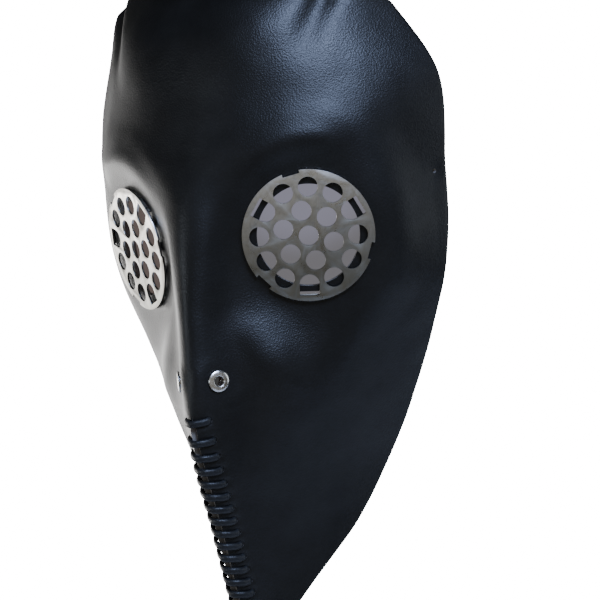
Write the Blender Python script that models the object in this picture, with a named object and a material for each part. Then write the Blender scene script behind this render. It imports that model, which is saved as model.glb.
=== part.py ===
"""Leather plague doctor mask: one moulded hide shell with a laced beak,
two perforated steel eye grilles and two nostril eyelets with their washers.

Metres, +Z up, the face looks along -Y, +X is the wearer's left.
The origin is on the mid-plane, level with the two tie holes at the temples.
"""
import math

import bmesh
import bpy
from mathutils import Matrix, Vector

MM = 0.001

# Leather sheet
LEATHER = 2.1 * MM            # thickness of the hide
TOP_Z = 95.0                  # mm, top edge above the tie holes
SLIT_Z = -72.0                # mm, where the beak's seam begins
TIP_Z = -171.0                # mm, point of the beak
ROWS_ABOVE_SLIT = 26
ROWS_BELOW_SLIT = 16
COLUMNS = 13                  # across one half
SEAM_GAP = 0.6 * MM           # between the two flesh-side corners of the seam
SEAM_SPREAD = 45.0            # mm across, where the seam no longer widens the beak

# Cross-sections of the right half, from the top edge to the tip. Each one starts on the
# ridge and bends towards the temple: height, ridge position along Y, angle to the mid-plane
# at the ridge and at the rear edge, width of the panel, and radius over which the fold
# at the ridge dies away. Millimetres and degrees.
SECTIONS = (
    (95, -14.0, 80, 58.0, 28, 60),
    (92, -19.0, 79, 52.0, 42, 60),
    (84, -29.0, 77, 42.0, 59, 59),
    (75, -37.0, 76, 32.0, 72, 58),
    (65, -43.0, 75, 24.0, 85, 54),
    (37, -54.5, 71, 22.6, 105, 45),
    (1, -70.6, 68, 23.5, 110.8, 13),
    (-33, -80.4, 65, 22.8, 111, 5),
    (-65, -88.0, 55, 20.2, 106, 3),
    (-81, -90.0, 50, 19.6, 101.5, 2),
    (-99, -88.6, 46, 20.0, 91.5, 2),
    (-117, -86.6, 42, 23.0, 77, 2),
    (-135, -85.4, 39, 29.0, 58, 2),
    (-153, -84.2, 39, 38.0, 31, 2),
    (-171, -82.8, 44, 50.0, 6, 2),
)

# Hollow between the ridge and the cheek, deepest beside the nostrils: height and depth, mm
HOLLOW = ((95, 0.0), (30, 0.0), (5, 3.0), (-13, 4.0), (-40, 4.4), (-60, 4.0), (-95, 1.6), (-171, 0.0))
HOLLOW_WIDTH = 30.0           # mm, from the ridge

# Raised brow over each eye and the full forehead between the creases: centre, reach, height, mm
BROW = dict(across=44.0, up=22.0, reach_across=26.0, reach_up=13.0, height=3.2)
FOREHEAD = dict(across=18.0, up=66.0, reach_across=26.0, reach_up=26.0, height=3.0)

# Soft crease that runs from the temple's top corner down towards the brow, mm
CREASE_LOW = (40.0, 46.0)     # across, up
CREASE_HIGH = (62.0, 90.0)
CREASE_REACH = 6.0
CREASE_DEPTH = 4.0

# Eye grilles
GRILLE_RADIUS = 25.4 * MM
GRILLE_THICKNESS = 0.9 * MM
GRILLE_X = 40.6 * MM
GRILLE_Y = -48.0 * MM
GRILLE_Z = -13.0 * MM
GRILLE_YAW = math.radians(31)         # each grille faces this far out from straight ahead
GRILLE_TURN = {"left": 9.0, "right": -20.0}   # degrees, how each plate is turned in its seat
GRILLE_STANDOFF = 0.8 * MM            # air between the plate and its leather seat
SEAT_RADIUS = 29.0 * MM               # flat leather under the grille
SEAT_FADE = 40.0 * MM                 # where the seat has blended into the cheek
EYE_OPENING_RADIUS = 19.7 * MM
HOLE_RADIUS = 3.8 * MM
INNER_RING = 9.9 * MM
OUTER_RING = 18.8 * MM
TAB_WIDTH = 7.6 * MM
TAB_BEND = 23.2 * MM                  # distance from the centre to the bend of each tab
TAB_THICKNESS = 0.9 * MM
TAB_CLENCH = 3.0 * MM                 # part of the tab that is folded flat on the flesh side
TAB_CLEARANCE = 0.4 * MM
NOTCH_WIDTH = 6.6 * MM
NOTCH_DEPTH = 1.4 * MM

# Nostril eyelets
EYELET_Z = -60.0
EYELET_ACROSS = 11.5                  # mm along the leather from the ridge
EYELET_SEAT_RADIUS = 7.0 * MM         # flat leather around each eyelet
EYELET_SEAT_FADE = 13.0 * MM
EYELET_FLANGE = 4.15 * MM
EYELET_BARREL = 2.35 * MM
EYELET_BORE = 1.9 * MM
EYELET_FIT = 0.5 * MM                 # air under the flange and around the barrel
WASHER_THICKNESS = 0.5 * MM

# Lacing and tie holes
STITCHES = 18
STITCH_PITCH = 5.2
FIRST_STITCH_Z = -76.6
FIRST_STITCH_RISE = 2.8               # mm, the first stitches are set wider apart
ROW_DROP = 3.4                        # mm, how far the +X row ends up below the other
STITCH_INSET = 5.8                    # mm from the cut edge to the middle of a hole
STITCH_HOLE_RADIUS = 1.75 * MM
LACE_RADIUS = 1.15 * MM
LACE_CLEARANCE = 0.45 * MM
TIE_HOLE_RADIUS = 1.1 * MM
TIE_HOLE_INSET = 5.5                  # mm from the rear edge

SIDES = {"left": 1.0, "right": -1.0}  # the wearer's left is +X


# ---------------------------------------------------------------- helpers

def clear_scene():
    for item in list(bpy.data.objects):
        bpy.data.objects.remove(item, do_unlink=True)


def material(name, colour, roughness, metallic):
    finish = bpy.data.materials.new(name)
    finish.use_nodes = True
    shader = finish.node_tree.nodes["Principled BSDF"]
    shader.inputs["Base Color"].default_value = (*colour, 1.0)
    shader.inputs["Roughness"].default_value = roughness
    shader.inputs["Metallic"].default_value = metallic
    return finish


def add_object(name, mesh, finish=None):
    item = bpy.data.objects.new(name, mesh)
    bpy.context.scene.collection.objects.link(item)
    if finish:
        mesh.materials.append(finish)
    return item


def mesh_from_bmesh(name, shape):
    mesh = bpy.data.meshes.new(name)
    shape.to_mesh(mesh)
    shape.free()
    return mesh


def add_cutter(name, shape):
    """An object that only cuts: hidden from the render and drawn as wire."""
    cutter = add_object(name, mesh_from_bmesh(name, shape))
    cutter.hide_render = True
    cutter.display_type = "WIRE"
    return cutter


def boolean(item, cutter, operation="DIFFERENCE"):
    modifier = item.modifiers.new(cutter.name, "BOOLEAN")
    modifier.operation = operation
    modifier.solver = "EXACT"
    modifier.object = cutter


def add_cylinder(shape, frame, radius, low, high, segments):
    """A closed cylinder along the frame's Z axis, from low to high."""
    middle = frame @ Matrix.Translation((0, 0, (low + high) / 2))
    bmesh.ops.create_cone(
        shape, cap_ends=True, segments=segments, radius1=radius, radius2=radius,
        depth=high - low, matrix=middle)


def add_box(shape, frame, low, high):
    """A closed box between two corners in the frame's own axes."""
    low, high = Vector(low), Vector(high)
    size = Matrix.Diagonal((*(high - low), 1.0))
    middle = Matrix.Translation((low + high) / 2)
    bmesh.ops.create_cube(shape, size=1.0, matrix=frame @ middle @ size)


def table_value(table, height, column=1):
    """A smooth curve through one column of a table whose heights run downwards."""
    heights = [row[0] for row in table]
    values = [row[column] for row in table]
    height = min(max(height, heights[-1]), heights[0])
    k = next(i for i in range(len(table) - 1) if height >= heights[i + 1])

    def slope(i):
        a, b = max(i - 1, 0), min(i + 1, len(table) - 1)
        return (values[b] - values[a]) / (heights[b] - heights[a])

    span = heights[k + 1] - heights[k]
    t = (height - heights[k]) / span
    return (values[k] * (2 * t**3 - 3 * t**2 + 1) + values[k + 1] * (3 * t**2 - 2 * t**3)
            + span * (slope(k) * (t**3 - 2 * t**2 + t) + slope(k + 1) * (t**3 - t**2)))


def fade(value, start, end):
    """1 before start, 0 after end, with a smooth step between."""
    t = min(max((value - start) / (end - start), 0.0), 1.0)
    return 1.0 - t * t * (3.0 - 2.0 * t)


# ---------------------------------------------------------------- leather surface

def grille_frame(side):
    """Centre of an eye grille, with Z out of the mask, Y up and X towards the wearer's left."""
    sign = SIDES[side]
    out = Vector((sign * math.sin(GRILLE_YAW), -math.cos(GRILLE_YAW), 0))
    up = Vector((0, 0, 1))
    across = up.cross(out)
    turn = Matrix((across, up, out)).transposed().to_4x4()
    return Matrix.Translation((sign * GRILLE_X, GRILLE_Y, GRILLE_Z)) @ turn


def panel_width(height):
    return table_value(SECTIONS, height, 4)


def bend_angle(height, across):
    """Angle between the leather and the mid-plane, at a distance from the ridge."""
    front = table_value(SECTIONS, height, 2)
    rear = table_value(SECTIONS, height, 3)
    angle = front + (rear - front) * across / panel_width(height)
    if height > SLIT_Z:
        angle += (90 - front) * math.exp(-across / table_value(SECTIONS, height, 5))
    return math.radians(angle)


def mound(across, height, shape):
    """Height of a smooth rise at a point of the leather."""
    a = (across - shape["across"]) / shape["reach_across"]
    b = (height - shape["up"]) / shape["reach_up"]
    return shape["height"] * math.exp(-a * a - b * b)


def crease_depth(across, height):
    """Depth of the crease beside the forehead, which deepens towards the top edge."""
    low, high = Vector(CREASE_LOW), Vector(CREASE_HIGH)
    along = (high - low).normalized()
    offset = Vector((across, height)) - low
    travelled = offset.dot(along)
    beside = along.x * offset.y - along.y * offset.x
    grown = 1.0 - fade(travelled, 0.0, (high - low).length)
    return CREASE_DEPTH * grown * math.exp(-(beside / CREASE_REACH) ** 2)


def relief(height, across):
    """How far the moulded leather stands out of its plain section."""
    rise = mound(across, height, BROW) + mound(across, height, FOREHEAD)
    rise -= crease_depth(across, height)
    if across < HOLLOW_WIDTH:
        rise -= table_value(HOLLOW, height) * math.sin(math.pi * across / HOLLOW_WIDTH) ** 2
    return rise


def moulded_point(height, across):
    """Grain side of the leather on the +X half, before the nostril is pressed flat."""
    steps = 16
    x = 0.0
    y = table_value(SECTIONS, height, 1)
    for k in range(steps):
        angle = bend_angle(height, across * (k + 0.5) / steps)
        x += math.sin(angle) * across / steps
        y += math.cos(angle) * across / steps
    angle = bend_angle(height, across)
    rise = relief(height, across)
    point = Vector((x + rise * math.cos(angle), y - rise * math.sin(angle), height)) * MM
    if height <= SLIT_Z:
        corner = SEAM_GAP / 2 + LEATHER * math.cos(bend_angle(height, 0.0))
        point.x += corner * fade(across, 0.0, SEAM_SPREAD)
    seat = GRILLE_THICKNESS / 2 + GRILLE_STANDOFF
    return press_flat(point, grille_frame("left"), seat, SEAT_RADIUS, SEAT_FADE)


def press_flat(point, frame, depth, flat, faded):
    """Press the leather into a plane that lies at a depth behind a frame's origin."""
    local = frame.inverted() @ point
    amount = fade(math.hypot(local.x, local.y), flat, faded)
    local.z -= amount * (depth + local.z)
    return frame @ local


def surface_frame(surface, height, across):
    """Frame on a surface of the +X half: Z out of the leather, X away from the ridge."""
    step = 0.5
    away = surface(height, across + step) - surface(height, max(across - step, 0.0))
    up = surface(height + step, across) - surface(height - step, across)
    out = away.cross(up).normalized()
    away.normalize()
    turn = Matrix((away, out.cross(away), out)).transposed().to_4x4()
    return Matrix.Translation(surface(height, across)) @ turn


NOSTRIL_FRAME = surface_frame(moulded_point, EYELET_Z, EYELET_ACROSS)


def skin_point(height, across):
    """Grain side of the finished leather on the +X half, in metres."""
    point = moulded_point(height, across)
    return press_flat(point, NOSTRIL_FRAME, 0.0, EYELET_SEAT_RADIUS, EYELET_SEAT_FADE)


def skin_frame(side, height, across):
    """Frame on the grain side of either half, mirrored on the -X one."""
    frame = surface_frame(skin_point, height, across)
    if SIDES[side] < 0:
        mirror = Matrix.Diagonal((-1, 1, 1, 1))
        frame = mirror @ frame @ mirror
    return frame


def row_heights():
    above = [TOP_Z + (SLIT_Z - TOP_Z) * i / ROWS_ABOVE_SLIT for i in range(ROWS_ABOVE_SLIT)]
    below = [SLIT_Z + (TIP_Z - SLIT_Z) * i / ROWS_BELOW_SLIT for i in range(ROWS_BELOW_SLIT + 1)]
    below[0] += 0.01      # this row is still whole
    return above + below


def build_shell(finish):
    """The moulded sheet: a grid of both halves, split along the beak, then thickened."""
    shape = bmesh.new()
    halves = {"left": [], "right": []}
    for height in row_heights():
        width = panel_width(height)
        points = [skin_point(height, width * (j / COLUMNS) ** 1.25) for j in range(COLUMNS + 1)]
        if height > SLIT_Z:
            points[0].x = 0.0
        left = [shape.verts.new(p) for p in points]
        right = [shape.verts.new((-p.x, p.y, p.z)) for p in points[1:]]
        first = left[0] if height > SLIT_Z else shape.verts.new((-points[0].x, *points[0].yz))
        halves["left"].append(left)
        halves["right"].append([first] + right)
    for side, rows in halves.items():
        for upper, lower in zip(rows, rows[1:]):
            for j in range(COLUMNS):
                corners = (upper[j], lower[j], lower[j + 1], upper[j + 1])
                shape.faces.new(corners if side == "left" else corners[::-1])
    bmesh.ops.triangulate(shape, faces=shape.faces)
    shell = add_object("leather_shell", mesh_from_bmesh("leather_shell", shape), finish)
    wall = shell.modifiers.new("Thickness", "SOLIDIFY")
    wall.thickness = LEATHER
    wall.offset = -1.0
    wall.use_even_offset = True
    boolean(shell, eye_cutter())
    boolean(shell, tab_slit_cutter())
    boolean(shell, lace_hole_cutter())
    boolean(shell, small_hole_cutter())
    return shell


def eye_cutter():
    shape = bmesh.new()
    for side in SIDES:
        add_cylinder(shape, grille_frame(side), EYE_OPENING_RADIUS, -12 * MM, 12 * MM, 40)
    return add_cutter("eye_cutter", shape)


def tab_slit_cutter():
    shape = bmesh.new()
    for side in SIDES:
        for frame in tab_frames(side):
            half = TAB_WIDTH / 2 + TAB_CLEARANCE
            low = (-half, TAB_BEND - TAB_THICKNESS - TAB_CLEARANCE, -10 * MM)
            high = (half, TAB_BEND + TAB_CLEARANCE, 5 * MM)
            add_box(shape, frame, low, high)
    return add_cutter("tab_slit_cutter", shape)


def lace_hole_cutter():
    shape = bmesh.new()
    for k in range(STITCHES):
        for side in SIDES:
            frame = stitch_frame(side, k)
            add_cylinder(shape, frame, STITCH_HOLE_RADIUS, -6 * MM, 3 * MM, 8)
    return add_cutter("lace_hole_cutter", shape)


def small_hole_cutter():
    """Nostril holes and the two tie holes at the temples."""
    shape = bmesh.new()
    for side in SIDES:
        nostril = skin_frame(side, EYELET_Z, EYELET_ACROSS)
        add_cylinder(shape, nostril, EYELET_BARREL + EYELET_FIT, -8 * MM, 4 * MM, 16)
        temple = skin_frame(side, 0.0, panel_width(0.0) - TIE_HOLE_INSET)
        add_cylinder(shape, temple, TIE_HOLE_RADIUS, -8 * MM, 4 * MM, 12)
    return add_cutter("small_hole_cutter", shape)


# ---------------------------------------------------------------- eye grilles

def turned(frame, degrees):
    """The frame turned clockwise, seen from in front of the grille."""
    return frame @ Matrix.Rotation(math.radians(-degrees), 4, "Z")


def plate_frame(side):
    return turned(grille_frame(side), GRILLE_TURN[side])


def tab_frames(side):
    """One frame for each bent tab, with Y pointing out from the centre through it."""
    return [turned(plate_frame(side), 60 + 120 * k) for k in range(3)]


def build_grille(side, finish):
    """A stamped disc with 19 holes, three rim notches and three tabs bent back and clenched."""
    frame = plate_frame(side)
    half = GRILLE_THICKNESS / 2
    shape = bmesh.new()
    add_cylinder(shape, frame, GRILLE_RADIUS, -half, half, 48)
    grille = add_object("eye_grille_" + side, mesh_from_bmesh("eye_grille_" + side, shape), finish)

    holes = bmesh.new()
    add_cylinder(holes, frame, HOLE_RADIUS, -5 * MM, 5 * MM, 12)
    for k in range(6):
        place = turned(frame, -15 + 60 * k) @ Matrix.Translation((0, INNER_RING, 0))
        add_cylinder(holes, place, HOLE_RADIUS, -5 * MM, 5 * MM, 12)
    for k in range(12):
        place = turned(frame, 30 * k) @ Matrix.Translation((0, OUTER_RING, 0))
        add_cylinder(holes, place, HOLE_RADIUS, -5 * MM, 5 * MM, 12)
    boolean(grille, add_cutter("holes_" + side, holes))

    slots = bmesh.new()
    for tab in tab_frames(side):
        low = (-TAB_WIDTH / 2, OUTER_RING, -6 * MM)
        add_box(slots, tab, low, (TAB_WIDTH / 2, TAB_BEND, 6 * MM))
    for k in range(3):
        notch = turned(frame, -15 + 120 * k)
        low = (-NOTCH_WIDTH / 2, GRILLE_RADIUS - NOTCH_DEPTH, -6 * MM)
        add_box(slots, notch, low, (NOTCH_WIDTH / 2, GRILLE_RADIUS + 3 * MM, 6 * MM))
    boolean(grille, add_cutter("slots_" + side, slots))

    tabs = bmesh.new()
    behind_leather = -(half + GRILLE_STANDOFF + LEATHER + 1.5 * TAB_CLEARANCE)
    for tab in tab_frames(side):
        add_tab(tabs, tab, half, behind_leather)
    boolean(grille, add_cutter("tabs_" + side, tabs), "UNION")
    return grille


def add_tab(shape, frame, front, behind):
    """One tab in profile: down from the slot's outer end, through the leather, then outward."""
    root = TAB_BEND + 0.05 * MM
    inner = TAB_BEND - TAB_THICKNESS
    profile = (
        (root + 0.4 * MM, front - 0.05 * MM), (root + 0.4 * MM, -front + 0.05 * MM),
        (TAB_BEND, -front - 0.3 * MM), (TAB_BEND, behind), (TAB_BEND + TAB_CLENCH, behind),
        (TAB_BEND + TAB_CLENCH, behind - TAB_THICKNESS), (inner, behind - TAB_THICKNESS),
        (inner, -front), (inner + 0.3 * MM, front - 0.05 * MM),
    )
    ends = []
    for x in (-TAB_WIDTH / 2 + 0.02 * MM, TAB_WIDTH / 2 - 0.02 * MM):
        ends.append([shape.verts.new(frame @ Vector((x, y, z))) for y, z in profile])
    shape.faces.new(ends[0])
    shape.faces.new(ends[1][::-1])
    for i in range(len(profile)):
        j = (i + 1) % len(profile)
        shape.faces.new((ends[0][j], ends[0][i], ends[1][i], ends[1][j]))
    bmesh.ops.recalc_face_normals(shape, faces=shape.faces)


# ---------------------------------------------------------------- eyelets and washers

def build_turned(name, frame, profile, segments, finish):
    """A closed ring: the profile of radius and height points spun about the frame's Z."""
    shape = bmesh.new()
    rings = []
    for k in range(segments):
        spin = frame @ Matrix.Rotation(2 * math.pi * k / segments, 4, "Z")
        rings.append([shape.verts.new(spin @ Vector((r, 0, h))) for r, h in profile])
    for k, ring in enumerate(rings):
        after = rings[(k + 1) % segments]
        for i in range(len(profile)):
            j = (i + 1) % len(profile)
            shape.faces.new((ring[i], ring[j], after[j], after[i]))
    bmesh.ops.recalc_face_normals(shape, faces=shape.faces)
    item = add_object(name, mesh_from_bmesh(name, shape), finish)
    item.data.shade_smooth()
    item.data.set_sharp_from_angle(angle=math.radians(35))
    return item


def build_eyelet(side, finish):
    frame = skin_frame(side, EYELET_Z, EYELET_ACROSS)
    under = EYELET_FIT
    back = -(LEATHER + 2 * EYELET_FIT + WASHER_THICKNESS)
    profile = (
        (EYELET_BORE, under + 0.55 * MM), (EYELET_BORE + 0.5 * MM, under + 0.95 * MM),
        (EYELET_FLANGE - 0.7 * MM, under + 0.75 * MM), (EYELET_FLANGE, under + 0.25 * MM),
        (EYELET_FLANGE, under), (EYELET_BARREL, under), (EYELET_BARREL, back),
        (EYELET_BARREL + 0.75 * MM, back), (EYELET_BARREL + 0.6 * MM, back - 0.45 * MM),
        (EYELET_BORE, back - 0.45 * MM),
    )
    return build_turned("nostril_eyelet_" + side, frame, profile, 20, finish)


def build_washer(side, finish):
    frame = skin_frame(side, EYELET_Z, EYELET_ACROSS)
    top = -(LEATHER + EYELET_FIT)
    bottom = top - WASHER_THICKNESS + 0.15 * MM
    inner = EYELET_BARREL + 0.35 * MM
    profile = ((inner, top), (EYELET_FLANGE, top), (EYELET_FLANGE, bottom), (inner, bottom))
    return build_turned("eyelet_washer_" + side, frame, profile, 20, finish)


# ---------------------------------------------------------------- lacing

def stitch_frame(side, k):
    """Middle of a lacing hole: the row on the +X side drops further below the other one."""
    height = FIRST_STITCH_Z - STITCH_PITCH * k + FIRST_STITCH_RISE * math.exp(-k / 0.8)
    if side == "left":
        height -= ROW_DROP * (1 - math.exp(-k / 3))
    return skin_frame(side, height, STITCH_INSET)


def lace_route():
    """One spiral whip stitch: over the seam outside, back across it on the flesh side."""
    lift = LACE_RADIUS + LACE_CLEARANCE
    sunk = -(LEATHER + lift)
    route = []
    for k in range(STITCHES):
        start = stitch_frame("right", k)
        end = stitch_frame("left", k)
        rise = (end.translation.z - start.translation.z) / MM
        middle = start.translation.z / MM + rise / 2
        crest = Vector((0, skin_point(middle, 0.0).y - 1.4 * lift, middle * MM))
        route += through_hole(start, 1.0, (sunk, lift))
        route.append(skin_frame("right", middle - 0.2 * rise, 0.5) @ Vector((0, 0, 1.2 * lift)))
        route.append(crest)
        route.append(skin_frame("left", middle + 0.2 * rise, 0.5) @ Vector((0, 0, 1.2 * lift)))
        route += through_hole(end, -1.0, (lift, sunk))
    tail = Vector((0, 4 * MM, 5 * MM))
    return [route[0] + tail] + route + [route[-1] + tail]


def through_hole(frame, seam, levels):
    """Four points that take the thong through one hole, with its two turns eased.
    The seam is towards +X of the frame where seam is 1, and towards -X where it is -1."""
    ease = 0.9 * MM
    points = []
    for level, first in zip(levels, (True, False)):
        inward = ease if level < 0 else -ease
        on_axis = frame @ Vector((0, 0, level + inward))
        beside = frame @ Vector((seam * ease, 0, level))
        points += [beside, on_axis] if first else [on_axis, beside]
    return points


def build_lacing(finish):
    """A round thong along the lacing route."""
    points = lace_route()
    curve = bpy.data.curves.new("beak_lacing", "CURVE")
    curve.dimensions = "3D"
    curve.bevel_depth = LACE_RADIUS
    curve.bevel_resolution = 1
    curve.use_fill_caps = True
    line = curve.splines.new("POLY")
    line.points.add(len(points) - 1)
    for spot, place in zip(line.points, points):
        spot.co = (*place, 1.0)
    return add_object("beak_lacing", curve, finish)


def main():
    clear_scene()
    hide = material("black_leather", (0.012, 0.013, 0.016), 0.42, 0.0)
    thong = material("black_thong", (0.010, 0.010, 0.012), 0.50, 0.0)
    steel = material("stainless_steel", (0.52, 0.52, 0.49), 0.30, 1.0)
    nickel = material("nickel_plate", (0.70, 0.69, 0.66), 0.22, 1.0)
    build_shell(hide)
    build_lacing(thong)
    for side in SIDES:
        build_grille(side, steel)
        build_eyelet(side, nickel)
        build_washer(side, nickel)


main()
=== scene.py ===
# %% [markdown]
# # A leather plague doctor mask
# The mask is one sheet of wet-moulded black hide with a long beak. A thong closes the seam down
# the beak, two stamped steel discs cover the eyes, and a pair of nickel eyelets are the nostrils.
# The imported model gives the size and place of every piece, so we load it first.

# %% Load the frame
import math

import bmesh
import bpy
import numpy as np
from mathutils import Matrix, Vector, noise


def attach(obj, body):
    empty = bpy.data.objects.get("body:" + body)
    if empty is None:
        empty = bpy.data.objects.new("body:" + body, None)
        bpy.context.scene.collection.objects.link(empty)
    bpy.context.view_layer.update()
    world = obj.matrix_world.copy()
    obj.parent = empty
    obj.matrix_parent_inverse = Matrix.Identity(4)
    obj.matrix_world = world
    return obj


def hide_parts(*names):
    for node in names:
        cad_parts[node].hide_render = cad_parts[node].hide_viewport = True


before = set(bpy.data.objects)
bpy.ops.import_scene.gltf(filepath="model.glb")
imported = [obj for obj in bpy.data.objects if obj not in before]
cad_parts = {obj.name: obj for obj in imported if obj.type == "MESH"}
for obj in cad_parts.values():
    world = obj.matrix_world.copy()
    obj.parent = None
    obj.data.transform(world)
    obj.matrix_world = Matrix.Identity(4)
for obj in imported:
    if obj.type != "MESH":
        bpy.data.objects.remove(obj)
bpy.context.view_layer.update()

MM = 0.001
print("nodes:", sorted(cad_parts))

# %% [markdown]
# ## Camera
# The mask is seen from its front left and a little above, with the camera leaning to one side.
# It could be turned with Euler angles, but it is easier to build its three axes: one points from
# the mask to the camera, and the other two are turned about it by the lean.

# %% Camera
EYE_MIDDLE = Vector((0, -48, -13)) * MM      # half way between the two eye discs
CAMERA_AZIMUTH = 31.46
CAMERA_ELEVATION = 12.22
CAMERA_LEAN = -10.46
CAMERA_DISTANCE = 0.600
CAMERA_OFFSET = (31.58 * MM, -22.62 * MM)    # right and up, from the eyes to the middle of the view
CAMERA_LENS = 91.44


def camera_axes(azimuth, elevation, lean):
    """Right, up and backward directions of a camera, from angles in degrees."""
    a, e = math.radians(azimuth), math.radians(elevation)
    back = Vector((math.sin(a) * math.cos(e), -math.cos(a) * math.cos(e), math.sin(e)))
    right = Vector((math.cos(a), math.sin(a), 0))
    spin = Matrix.Rotation(math.radians(lean), 3, back)
    return spin @ right, spin @ back.cross(right), back


right, up, back = camera_axes(CAMERA_AZIMUTH, CAMERA_ELEVATION, CAMERA_LEAN)
bpy.ops.object.camera_add()
camera = bpy.context.object
camera.name = "camera"
camera.data.lens = CAMERA_LENS
camera.data.clip_start = 0.01
place = EYE_MIDDLE + CAMERA_OFFSET[0] * right + CAMERA_OFFSET[1] * up + CAMERA_DISTANCE * back
camera.location = place
camera.matrix_world = Matrix.Translation(place) @ Matrix((right, up, back)).transposed().to_4x4()
bpy.context.scene.camera = camera
print("camera at", [round(v, 3) for v in place])

# %% [markdown]
# ## Shader helpers
# Writing node trees link by link hides the maths. This small class wraps one output socket and
# overloads the arithmetic operators, so `1 - mask * 0.5` adds the two Math nodes by itself.

# %% Shader maths


class Signal:
    """An output socket that can be used in arithmetic."""

    def __init__(self, tree, socket):
        self.tree = tree
        self.socket = socket

    def maths(self, operation, *values):
        node = self.tree.nodes.new("ShaderNodeMath")
        node.operation = operation
        for place, value in zip(node.inputs, values):
            connect(self.tree, place, value)
        return Signal(self.tree, node.outputs[0])

    def __add__(self, other):
        return self.maths("ADD", self, other)

    def __sub__(self, other):
        return self.maths("SUBTRACT", self, other)

    def __rsub__(self, other):
        return self.maths("SUBTRACT", other, self)

    def __mul__(self, other):
        return self.maths("MULTIPLY", self, other)

    def __pow__(self, other):
        return self.maths("POWER", self, other)

    __radd__ = __add__
    __rmul__ = __mul__


def connect(tree, place, value):
    """Link a signal to an input socket, or set the socket's own value."""
    if isinstance(value, Signal):
        tree.links.new(value.socket, place)
    else:
        place.default_value = value


print("shader operators ready: +, -, * and **")

# %% [markdown]
# Every other node comes from one method, `node`. It takes the node's type, its settings and the
# values or links of its inputs. Inputs are named, with an underscore for a space, or numbered as
# i0, i1 and so on where two of them share a name. The patterns used most have their own methods.

# %% Node networks


class Network:
    """A node tree whose nodes are added by their type, their settings and their inputs."""

    def __init__(self, tree):
        self.tree = tree

    def node(self, kind, settings=None, output=0, **inputs):
        node = self.tree.nodes.new("ShaderNode" + kind)
        for name, value in (settings or {}).items():
            setattr(node, name, value)
        for name, value in inputs.items():
            numbered = name[0] == "i" and name[1:].isdigit()
            key = int(name[1:]) if numbered else name.replace("_", " ")
            connect(self.tree, node.inputs[key], value)
        return Signal(self.tree, node.outputs[output])

    def position(self):
        return self.node("TexCoord", output="Object")

    def clouds(self, where, scale, detail=4.0, rough=0.55, distortion=0.0):
        return self.node("TexNoise", Vector=where, Scale=scale, Detail=detail,
                         Roughness=rough, Distortion=distortion)

    def remap(self, value, low, high, to_low=0.0, to_high=1.0, smooth=False):
        settings = {"interpolation_type": "SMOOTHSTEP" if smooth else "LINEAR"}
        return self.node("MapRange", settings, i0=value, i1=low, i2=high, i3=to_low, i4=to_high)

    def blend(self, factor, first, second):
        """Mix two colours."""
        return self.node("Mix", {"data_type": "RGBA"}, output=2, i0=factor, i6=first, i7=second)

    def bump(self, height, distance, strength):
        return self.node("Bump", Height=height, Distance=distance, Strength=strength)


class Finish(Network):
    """A material built on the Principled shader."""

    def __init__(self, name, **constants):
        self.material = bpy.data.materials.new(name)
        self.material.use_nodes = True
        super().__init__(self.material.node_tree)
        self.shader = self.tree.nodes["Principled BSDF"]
        for socket, value in constants.items():
            self.feed(socket.replace("_", " "), value)

    def feed(self, socket, value):
        connect(self.tree, self.shader.inputs[socket], value)


print("node network classes ready")

# %% [markdown]
# ## Studio
# A pale round floor well below the mask catches the light in the views from above. The long low
# window on the wearer's right is what the far disc and cheek reflect, and a dimmer strip above it
# reaches the temple. A cooler sky light hangs over the forehead, a small strip picks out the ridge
# and a weak one lights the near edge from behind. The room in front is left dim, because that is
# what makes black leather look black.

# %% Studio
FLOOR_Z = -0.62
FLOOR_RADIUS = 0.85
ROOM_LOW = (0.036, 0.036, 0.034)
ROOM_FRONT = (0.225, 0.219, 0.200)
BACKDROP_WHITE = 20.0

bpy.ops.mesh.primitive_circle_add(vertices=128, radius=FLOOR_RADIUS, fill_type="NGON",
                                  location=(0, 0, FLOOR_Z))
floor = bpy.context.object
floor.name = "studio_floor"
floor.data.materials.append(Finish("pale_floor", Base_Color=(0.86, 0.86, 0.85, 1),
                                   Roughness=0.8).material)


def soft_light(name, place, size, power, colour):
    """A rectangular light in metres and watts, turned towards the mask."""
    bpy.ops.object.light_add(type="AREA", location=place)
    lamp = bpy.context.object
    lamp.name = name
    lamp.data.shape = "RECTANGLE"
    lamp.data.size, lamp.data.size_y = size
    lamp.data.energy = power
    lamp.data.color = colour
    direction = LIGHTS_AIM - Vector(place)
    lamp.rotation_euler = direction.to_track_quat("-Z", "Y").to_euler()


WARM, COOL = (1.0, 0.985, 0.97), (0.5, 0.64, 1.0)
LIGHTS_AIM = Vector((0, -0.04, -0.02))
soft_light("window", (-1.45, 0.15, -0.36), (1.9, 0.5), 15.5, WARM)
soft_light("window_top", (-1.49, 0.09, 0.14), (1.9, 0.3), 2.5, WARM)
soft_light("sky", (1.00, -0.57, 1.11), (0.7, 0.45), 36, COOL)
soft_light("ridge_strip", (-0.77, -1.37, 0.22), (0.45, 0.3), 4.0, (0.80, 0.89, 1.0))
soft_light("far_right", (1.5, 0.75, -0.1), (0.7, 1.1), 4, (0.82, 0.90, 1.0))

# %% [markdown]
# The backdrop is white to the camera, but the mask shades the part just behind it, and that grey
# is what shows through the holes. So the world gets patches of shade behind the openings, each an
# ellipse in the two directions across the view, and the near eye's is lighter towards its top. All
# other rays see a dim room that is brightest in front.

# %% Backdrop
# where the opening is in mm, half width and half height of its patch in mm, how much of it is
# full before its soft edge begins, and how bright it is
SHADES = (
    ((41, -48, -13), (30, 29), 0.9, (0.165, 0.160, 0.172)),
    ((41, -48, 4), (34, 26), 0.1, (0.235, 0.230, 0.285)),
    ((-39, -48, -13), (10.5, 25.0), 0.9, (0.125, 0.098, 0.090)),
    ((10, -79, -60), (4, 5), 0.9, (0.05, 0.05, 0.05)),
)


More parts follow.
